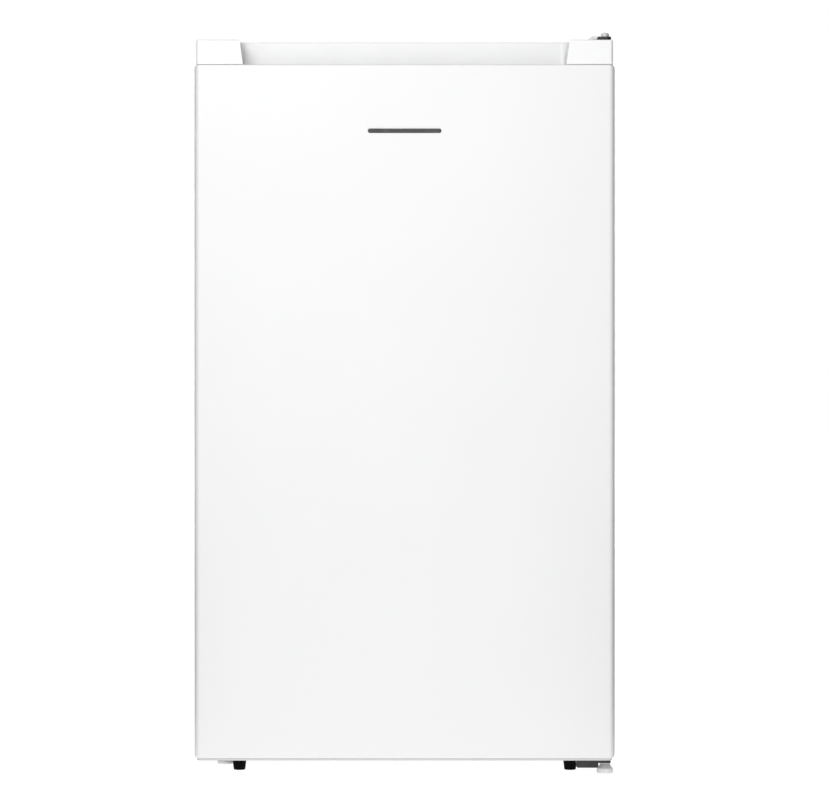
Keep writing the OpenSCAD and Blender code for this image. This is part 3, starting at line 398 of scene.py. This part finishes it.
def rings_to_mesh(rings, cap_first=False, cap_last=False, keep=lambda ring, k: True):
    """A skin over closed rings of points in millimetres, leaving out the quads that keep turns down."""
    bm = bmesh.new()
    rows = [[bm.verts.new([v * MM for v in p]) for p in ring] for ring in rings]
    count = len(rings[0])
    for i in range(len(rows) - 1):
        for k in range(count):
            if keep(i, k):
                j = (k + 1) % count
                bm.faces.new((rows[i][k], rows[i][j], rows[i + 1][j], rows[i + 1][k]))
    if cap_first:
        bm.faces.new(list(reversed(rows[0])))
    if cap_last:
        bm.faces.new(rows[-1])
    bmesh.ops.remove_doubles(bm, verts=bm.verts, dist=1e-6)
    bmesh.ops.recalc_face_normals(bm, faces=bm.faces)
    return bm


def even_normals(piece):
    """Keeps wide flat faces flat beside their rounded edges."""
    made = piece.modifiers.new("even_normals", "WEIGHTED_NORMAL")
    made.keep_sharp = True
    made.weight = 100
    return piece


def door_skin():
    """Pressed steel: a flat face, edges rolled back to the sides, and a lip folded in behind."""
    (x0, y0, z0), (x1, y1, z1) = box_mm("door_skin")
    side_r, end_r, corner_r, fold_r, lip, sheet = 7.0, 1.8, 4.5, 0.6, 8.0, 0.7
    steps = 8
    top_edge, bottom_edge = steps, 3 * steps + 2
    open_from = 7

    def inset(r, depth):
        """How far in from its side an edge of radius r is at a depth behind the face."""
        return r - math.sqrt(max(0.0, r * r - (r - min(depth, r)) ** 2))

    def ring(y, ix=0.0, iz=0.0, r=corner_r):
        """The panel's outline at y, drawn in by ix at its sides and by iz at its ends."""
        return [(x, y, z) for x, z in outline(x0 + ix, x1 - ix, z0 + iz, z1 - iz, r, steps)]

    def keep(i, k):
        """The panel is open at its top and bottom behind the rolled edge, where the caps plug in."""
        return not (k in (top_edge, bottom_edge) and i >= open_from)

    rings = []
    for depth in (0, 0.05, 0.2, 0.45, 0.8, 1.25, 1.8, 2.7, 4, 5.5, 7):
        ix, iz = inset(side_r, depth), inset(end_r, depth)
        rings.append(ring(y0 + depth, ix, iz, max(1.6, corner_r - 0.45 * (ix + iz))))
    rings += [ring(y1 - fold_r), ring(y1, fold_r), ring(y1, lip)]
    bm = rings_to_mesh(rings, cap_first=True, keep=keep)
    piece = finish_piece(bm, "door_skin.pressed", "door", "white_enamel", ["door_skin"])
    sheet_metal = piece.modifiers.new("sheet", "SOLIDIFY")
    sheet_metal.thickness = sheet * MM
    sheet_metal.offset = -1
    return even_normals(piece)


def gasket():
    """Extruded seal with mitred corners: a foot in its groove, folded bellows and a ribbed magnet sleeve."""
    (x0, y0, z0), (x1, _, z1) = box_mm("door_gasket")
    profile = [
        (1, 0), (15, 0), (15, 2.2), (12.4, 2.5), (12.4, 3.2), (13.6, 4.2), (12.2, 5.2), (12.2, 6.0),
        (14.5, 6.4), (14.5, 9.4), (13.9, 9.7), (12.2, 9.7), (11.8, 9.45), (11.4, 9.7), (8.8, 9.7),
        (8.4, 9.45), (8, 9.7), (5.4, 9.7), (5, 9.45), (4.6, 9.7), (0.6, 9.7), (0, 9.2), (0.4, 7.6),
        (2.4, 6.4), (3.6, 5.8), (2.2, 4.6), (3.4, 3.4), (3.4, 2.5), (1, 2.2),
    ]
    corners = [(x1, z1, -1, -1), (x0, z1, 1, -1), (x0, z0, 1, 1), (x1, z0, -1, 1)]
    rings = [[(x + sx * o, y0 + y, z + sz * o) for o, y in profile] for x, z, sx, sz in corners]
    bm = rings_to_mesh(rings + rings[:1])
    return finish_piece(bm, "door_gasket.extruded", "door", "seal_rubber", ["door_gasket"], smooth=50)


def threaded(node, r, depth, pitch, tip):
    """A turned stud with a helical thread between its ends."""
    (x0, y0, z0), (x1, y1, z1) = box_mm(node)
    cx, cy = (x0 + x1) / 2, (y0 + y1) / 2
    sides = 32
    count = int((z1 - z0 - 2 * tip) / pitch * 8)
    levels = [z0 + tip + k * pitch / 8 for k in range(count + 1)]

    def ring(z, radius):
        return [(cx + radius(a) * math.cos(a), cy + radius(a) * math.sin(a), z)
                for a in (2 * math.pi * k / sides for k in range(sides))]

    def thread(z):
        def radius(a):
            phase = (z / pitch - a / (2 * math.pi)) % 1.0
            return r - depth * min(1.0, max(0.0, abs(2 * phase - 1) * 1.4 - 0.2))
        return radius

    root = r - depth
    rings = [ring(z0, lambda a: root - 0.4), ring(z0 + 0.4, lambda a: root)]
    rings += [ring(z, thread(z)) for z in levels]
    rings += [ring(z1 - 0.4, lambda a: root), ring(z1, lambda a: root - 0.4)]
    bm = rings_to_mesh(rings, cap_first=True, cap_last=True)
    body = frame["nodes"][node]["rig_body"]
    return finish_piece(bm, node + ".threaded", body, SLOTS[node], [node], smooth=50)


def bevelled(node, width_mm, choose, segments=3, smooth=40):
    """A copy of a CAD node, rounded along the edges that choose picks by their two ends, in millimetres."""
    weld, flat, sharp = 4e-6, math.radians(0.4), math.radians(30)
    bm = bmesh.new()
    bm.from_mesh(frame["nodes"][node].data)
    bmesh.ops.remove_doubles(bm, verts=bm.verts, dist=weld)
    bmesh.ops.dissolve_limit(bm, angle_limit=flat, verts=bm.verts, edges=bm.edges)
    picked = [
        e for e in bm.edges
        if e.is_manifold and e.calc_face_angle() > sharp
        and choose(*[[c / MM for c in v.co] for v in e.verts])
    ]
    bmesh.ops.bevel(
        bm, geom=picked, offset=width_mm * MM, offset_type="OFFSET", segments=segments,
        profile=0.5, affect="EDGES", clamp_overlap=False,
    )
    piece = finish_piece(bm, node + ".rounded", frame["nodes"][node]["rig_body"], SLOTS[node], [node], smooth)
    if node in FINISHES_AND_PAINTED_SHADE:
        piece.data.materials[0] = FINISHES_AND_PAINTED_SHADE[node]
    return even_normals(piece)


def anywhere(a, b):
    """Picks every sharp edge."""
    return True


def on_plane(axis, *values, near=0.05):
    """Picks edges that lie in one of the planes at right angles to an axis."""
    return lambda a, b: any(abs(a[axis] - v) < near and abs(b[axis] - v) < near for v in values)


def dyke_edges(a, b, near=0.05):
    """Picks the dykes' front edges and their long corners on the door's liner."""
    if on_plane(1, *DYKE_FRONTS)(a, b):
        return True
    straight_back = abs(a[0] - b[0]) < near and abs(a[2] - b[2]) < near and abs(a[1] - b[1]) > 8
    return straight_back and any(abs(abs(a[0]) - x) < near for x in DYKE_X) and any(
        abs(a[2] - z) < near for z in DYKE_Z
    )


def dial_marks():
    """Raised ticks round the thermostat's skirt, growing with the setting, and a line on its grip."""
    (x0, y0, z0), (_, y1, z1) = box_mm("thermostat_knob")
    cy, cz = (y0 + y1) / 2, (z0 + z1) / 2
    skirt_x, tick_radius, tick_pitch, sunk = x0 + 14.0, 17.4, 34, 0.05
    bm = bmesh.new()

    def bar(at_x, radius, turn, length, width, height):
        """A raised bar that points away from the knob's axis."""
        a = math.radians(turn)
        along, across = (math.cos(a), math.sin(a)), (-math.sin(a), math.cos(a))
        corners = []
        for x in (at_x, at_x - height):
            for u, v in ((-1, -1), (1, -1), (1, 1), (-1, 1)):
                r, w = radius + 0.5 * length * u, 0.5 * width * v
                corners.append(bm.verts.new((
                    x * MM, (cy + r * along[0] + w * across[0]) * MM, (cz + r * along[1] + w * across[1]) * MM
                )))
        for quad in ((0, 1, 2, 3), (7, 6, 5, 4), (0, 4, 5, 1), (1, 5, 6, 2), (2, 6, 7, 3), (3, 7, 4, 0)):
            bm.faces.new([corners[k] for k in quad])

    for step in range(8):
        length = 1.2 + 0.25 * step
        bar(skirt_x + sunk, tick_radius, 210 - tick_pitch * step, length, width=0.7, height=0.35)
    bar(x0 + sunk, radius=10.0, turn=90, length=7.0, width=1.0, height=sunk)
    bmesh.ops.recalc_face_normals(bm, faces=bm.faces)
    finish_piece(bm, "thermostat_knob.marks", frame["nodes"]["thermostat_knob"]["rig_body"], "grey_plastic")


# Edge radius of each small part, in millimetres
EDGE_MM = {
    "top_hinge_base": 0.8, "top_hinge_bracket": 0.5, "top_hinge_cover": 0.5, "top_hinge_pin": 0.3,
    "hinge_screws": 0.15, "base_rail": 0.3, "front_feet": 0.5, "door_hinge_bushes": 0.3,
    "top_balcony": 0.6, "middle_balcony": 0.6, "bottle_rack": 0.4, "egg_tray": 0.5,
    "upper_shelf_glass": 0.8, "upper_shelf_trim": 0.5, "lower_shelf_glass": 0.8, "lower_shelf_trim": 0.5,
    "crisper_drawer": 0.6, "crisper_cover": 0.6, "ice_box_frame": 1.0, "thermostat_housing": 0.8,
    "thermostat_knob": 0.6, "lamp_cover": 0.5, "lamp_switch": 0.4, "compressor_tray": 0.3,
    "terminal_cover": 1.0, "drain_pan": 0.5, "condenser_brackets": 0.3,
}
# Where the door liner's dykes have their fronts, sides and ends, in millimetres
DYKE_FRONTS = (-179.2, -164.2)
DYKE_X = (200.0, 174.0)
DYKE_Z = (68.0, 773.0, 94.0, 747.0, 640.0)

door_skin()
gasket()
threaded("left_foot_stud", r=4.0, depth=0.55, pitch=1.25, tip=1.0)
dial_marks()
bevelled("worktop", 2.5, on_plane(2, box_mm("worktop")[1][2]), 4)
bevelled("door_top_cap", 1.3, on_plane(2, box_mm("door_top_cap")[1][2]), 3)
bevelled("door_badge", 0.3, on_plane(1, box_mm("door_badge")[0][1]), 2)
bevelled("door_liner", 3.0, dyke_edges, 4)
for name, width_mm in EDGE_MM.items():
    bevelled(name, width_mm, anywhere, 2)

own_shape = {
    "door_skin", "door_gasket", "left_foot_stud", "worktop", "door_top_cap", "door_badge", "door_liner",
}
for name in frame["nodes"]:
    if name not in own_shape and name not in EDGE_MM:
        dress(name)


# ---------------------------------------------------------------- studio

LENS_MM = 152.55
CAMERA_PLACE = (0.0107, -4.2492, 0.428)
KEY_PLACE, KEY_TARGET, KEY_SIZE = (-0.75, -2.0, 1.5), (-0.05, -0.25, 0.6), (0.8, 0.8)
REAR_PLACE, REAR_TARGET, REAR_SIZE = (0.4, 2.6, 1.5), (0, 0.2, 0.4), (1.6, 1.2)
SIDE_PLACE, SIDE_TARGET, SIDE_SIZE = (1.7, 1.3, 0.6), (0.24, 0.15, 0.45), (0.6, 1.0)
FLOOR_GLOW = 0.95
FLOOR_ALBEDO = 0.2
KEY_WATTS = 17.0
REAR_WATTS = 12
SIDE_WATTS = 17
SIDE_LEVELS = [(0.0, 0.35), (0.12, 0.5), (0.32, 1.26), (0.66, 1.26), (0.88, 0.35), (1.0, 0.20)]
OVERHEAD_LEVELS = [(0.42, 1.0), (0.88, 0.18)]
SCREEN_EDGE = (0.976, 0.986)
FLAG_ALBEDO = 0.06
DOOR_FLAG = {"x": 0.56, "y0": -0.6, "y1": 0.18, "top": 1.3}
FOOT_FLAG = {"x": 0.33, "y0": -0.36, "y1": -0.19, "top": 0.2}


def look_at(obj, target):
    obj.rotation_euler = (Vector(target) - obj.location).to_track_quat("-Z", "Y").to_euler()


def panel(name, place, target, size, power):
    """A soft rectangular light."""
    data = bpy.data.lights.new(name, "AREA")
    data.shape, data.size, data.size_y, data.energy = "RECTANGLE", size[0], size[1], power
    made = bpy.data.objects.new(name, data)
    made.location = place
    look_at(made, target)
    bpy.context.scene.collection.objects.link(made)
    return made


def mirrored(point, side):
    """The point for side 1, and its mirror image across the fridge for side -1."""
    return (point[0] * side, *point[1:])


def studio_floor():
    """A wide white floor, lit from below like an acrylic light table."""
    s = Shader("studio_floor", Roughness=0.7)
    s.colour(s.noise(3, 2), (FLOOR_ALBEDO - 0.01,) * 3, (FLOOR_ALBEDO,) * 3)
    s.set("Emission Color", (1.0, 1.0, 1.0))
    s.set("Emission Strength", FLOOR_GLOW)
    s.set("Specular IOR Level", 0.1)
    mesh = bpy.data.meshes.new("studio_floor")
    far = 40.0
    mesh.from_pydata([(-far, -far, 0), (far, -far, 0), (far, far, 0), (-far, far, 0)], [], [(0, 1, 2, 3)])
    made = bpy.data.objects.new("studio_floor", mesh)
    mesh.materials.append(s.material)
    bpy.context.scene.collection.objects.link(made)


def flag(side, x, y0, y1, top):
    """A dark upright card, out of the camera's sight, that draws the door's edges against white."""
    x *= side
    s = Shader("flag", Roughness=0.9)
    s.colour(s.noise(8, 2), (FLAG_ALBEDO,) * 3, (1.2 * FLAG_ALBEDO,) * 3)
    s.set("Specular IOR Level", 0.0)
    mesh = bpy.data.meshes.new("flag")
    mesh.from_pydata([(x, y0, 0), (x, y1, 0), (x, y1, top), (x, y0, top)], [], [(0, 1, 2, 3)])
    mesh.materials.append(s.material)
    made = bpy.data.objects.new("flag", mesh)
    made.visible_camera = False
    bpy.context.scene.collection.objects.link(made)


def studio_world():
    """Soft white in front, darker to the sides and overhead, with a white screen straight behind."""
    world = bpy.data.worlds.new("studio")
    world.use_nodes = True
    bpy.context.scene.world = world
    w = Nodes(world.node_tree)
    split = w.node("ShaderNodeSeparateXYZ")
    w.link(w.coordinates.outputs["Generated"], split.inputs[0])
    across = w.ramp(w.remap(split.outputs["X"], -1, 1), SIDE_LEVELS)
    overhead = w.ramp(split.outputs["Z"], OVERHEAD_LEVELS)
    room = w.mix(1.0, across, overhead, "MULTIPLY")
    screen = w.remap(split.outputs["Y"], *SCREEN_EDGE)
    w.link(w.mix(screen, room, (1.0, 1.0, 1.0)), w.tree.nodes["Background"].inputs["Color"])


def camera():
    """Level, straight in front, on a long lens."""
    data = bpy.data.cameras.new("camera")
    data.lens, data.sensor_width, data.sensor_fit = LENS_MM, 36.0, "HORIZONTAL"
    data.clip_end = 200
    made = bpy.data.objects.new("camera", data)
    made.location = CAMERA_PLACE
    made.rotation_euler = (math.radians(90), 0, 0)
    bpy.context.scene.collection.objects.link(made)
    bpy.context.scene.camera = made


studio_floor()
studio_world()
camera()
panel("key", KEY_PLACE, KEY_TARGET, KEY_SIZE, KEY_WATTS).visible_camera = False
for side in (-1, 1):
    flag(side, **DOOR_FLAG)
    flag(side, **FOOT_FLAG)
    place, target = mirrored(SIDE_PLACE, side), mirrored(SIDE_TARGET, side)
    panel("side_fill", place, target, SIDE_SIZE, SIDE_WATTS).visible_camera = False
panel("rear_fill", REAR_PLACE, REAR_TARGET, REAR_SIZE, REAR_WATTS).visible_camera = False
bpy.context.scene.view_settings.view_transform = "Standard"
bpy.context.scene.view_settings.look = "None"
bpy.context.scene.view_settings.exposure = 0.0
